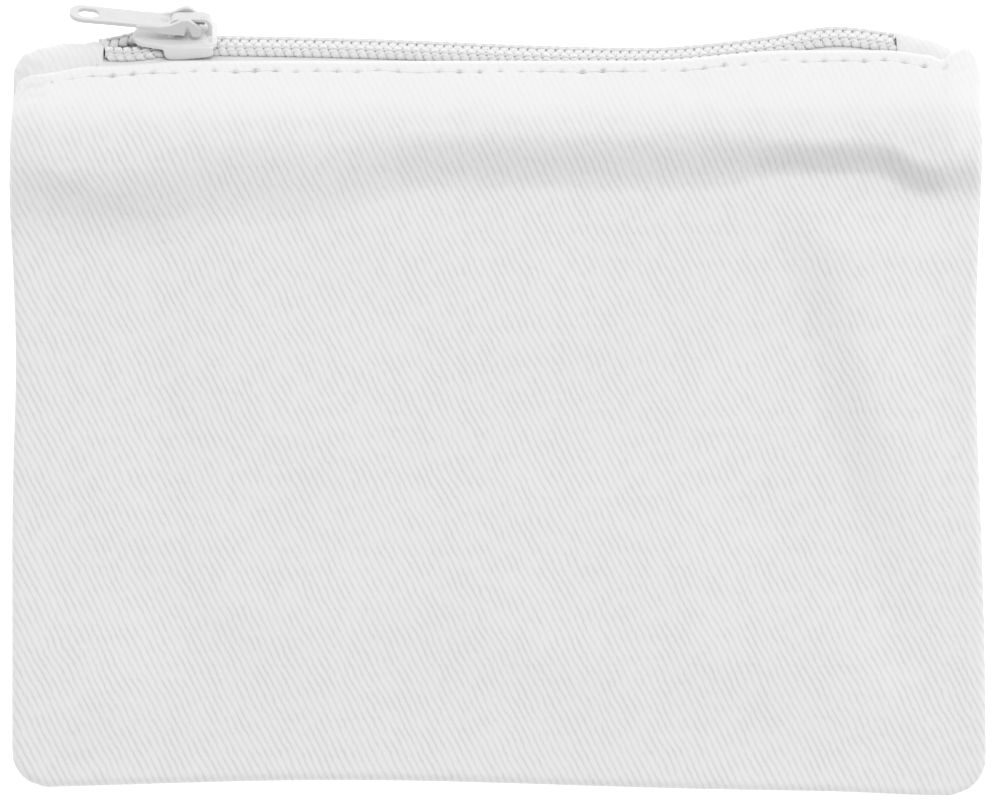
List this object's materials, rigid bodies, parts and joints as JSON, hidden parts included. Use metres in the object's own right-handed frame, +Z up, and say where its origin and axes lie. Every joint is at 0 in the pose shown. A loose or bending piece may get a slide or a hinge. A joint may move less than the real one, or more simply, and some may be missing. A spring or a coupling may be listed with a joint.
{
  "type": "zippered pouch",
  "caption": "Flat rectangular canvas pouch lying on its back, with rounded corners, a coil zip along its top edge and a small auto-lock slider with a flat pull.",
  "frame": {"origin": "middle of the pouch's box in X and Y, on the surface that it lies on", "axes": "+X along the zip towards its closed end, +Y from the bottom seam towards the zip, +Z up out of the front panel"},
  "size_m": [0.134, 0.1084, 0.0105],
  "materials": {
    "canvas": "matte off-white cotton twill",
    "zip_tape": "matte white woven polyester tape",
    "nylon_coil": "white nylon wire, slightly glossy",
    "filler_cord": "soft white knitted cord",
    "thread": "white spun polyester sewing thread",
    "white_enamel": "white enamelled die-cast zinc, satin gloss",
    "spring_steel": "plain spring steel"
  },
  "bodies": {
    "pouch": {"front_panel": "canvas", "back_panel": "canvas", "seam_allowance": "canvas", "left_end_tab": "canvas", "right_end_tab": "canvas", "front_tape": "zip_tape", "back_tape": "zip_tape", "front_coil": "nylon_coil", "back_coil": "nylon_coil", "front_coil_cord": "filler_cord", "back_coil_cord": "filler_cord", "front_coil_stitching": "thread", "back_coil_stitching": "thread", "front_topstitch": "thread", "back_topstitch": "thread", "left_seam_thread": "thread", "right_seam_thread": "thread", "bottom_seam_thread": "thread"},
    "slider": {"slider_body": "white_enamel", "slider_crown": "white_enamel", "lock_spring": "spring_steel"},
    "pull": {"pull_tab": "white_enamel"}
  },
  "joints": [
    {"name": "slider_slide", "type": "slide", "parent": "pouch", "child": "slider", "axis": [0.9999, 0.014, 0], "range_m": [0, 0.091], "deforming": ["front_tape", "back_tape", "front_coil", "back_coil", "front_coil_cord", "back_coil_cord", "front_coil_stitching", "back_coil_stitching"]},
    {"name": "pull_swing", "type": "hinge", "parent": "slider", "child": "pull", "pos_m": [-0.04144, 0.0512, 0.00759], "axis": [-0.0082, 0.5877, -0.809], "range_deg": [0, 140]}
  ]
}
